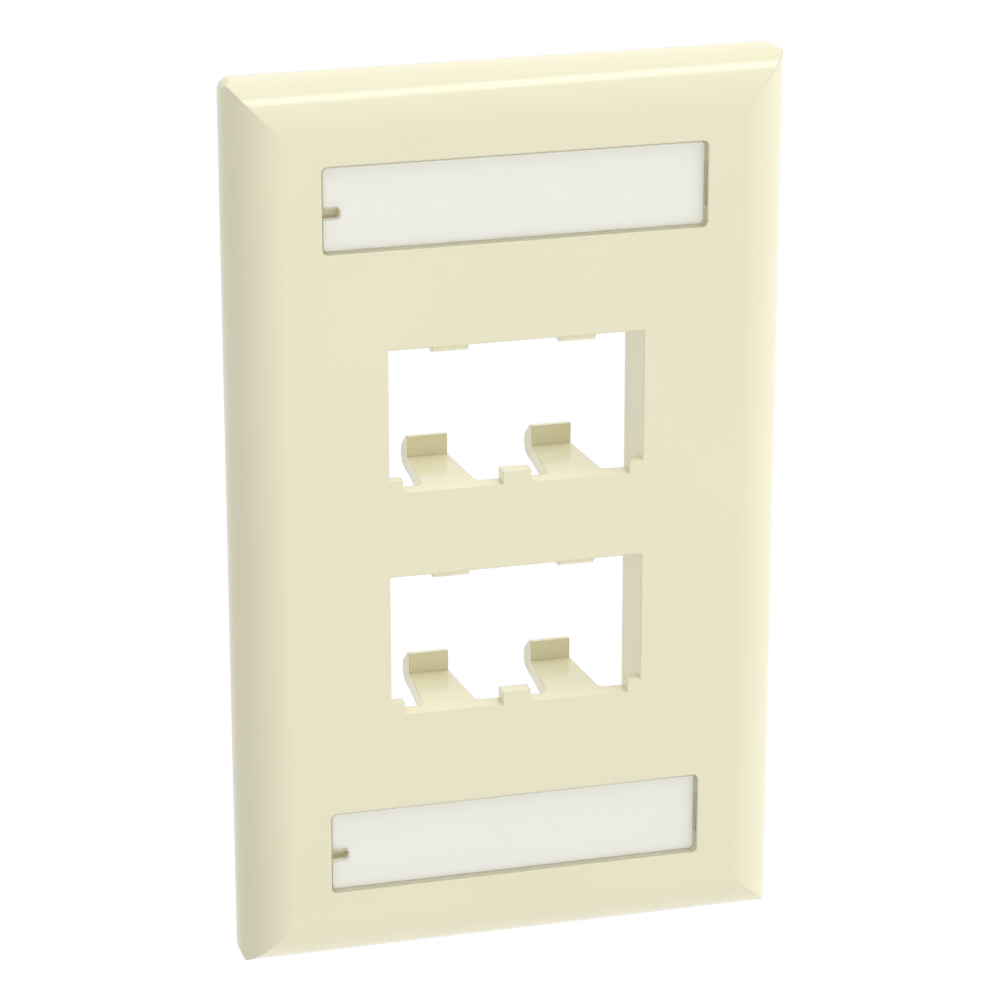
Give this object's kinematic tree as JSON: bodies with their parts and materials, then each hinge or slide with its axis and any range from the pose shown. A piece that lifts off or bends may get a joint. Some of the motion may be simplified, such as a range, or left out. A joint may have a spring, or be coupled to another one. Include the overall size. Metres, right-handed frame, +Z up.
{
  "type": "keystone faceplate",
  "caption": "Single-gang wall faceplate with double openings for snap-in modules, latch arms behind them and notched clear label covers over its mounting screws.",
  "frame": {"origin": "centre of the plane where the rim meets the wall, midway between the mounting screws", "axes": "+X to the right seen from the front, +Y into the wall, +Z up"},
  "size_m": [0.0698, 0.0234, 0.1142],
  "materials": {
    "plate_plastic": "moulded ivory plastic, satin gloss",
    "clear_cover": "clear moulded polycarbonate",
    "label_paper": "white card",
    "screw_steel": "zinc plated"
  },
  "bodies": {
    "plate": {"faceplate": "plate_plastic", "label_top": "label_paper", "label_bottom": "label_paper", "mounting_screw_top": "screw_steel", "mounting_screw_bottom": "screw_steel"},
    "cover_top": {"label_cover_top": "clear_cover"},
    "cover_bottom": {"label_cover_bottom": "clear_cover"}
  },
  "joints": [
    {"name": "label_cover_top_tilt", "type": "hinge", "parent": "plate", "child": "cover_top", "pos_m": [0.024, -0.00665, 0.04167], "axis": [0, 0, 1], "range_deg": [0, 20]},
    {"name": "label_cover_bottom_tilt", "type": "hinge", "parent": "plate", "child": "cover_bottom", "pos_m": [0.024, -0.00665, -0.04167], "axis": [0, 0, 1], "range_deg": [0, 20]}
  ]
}
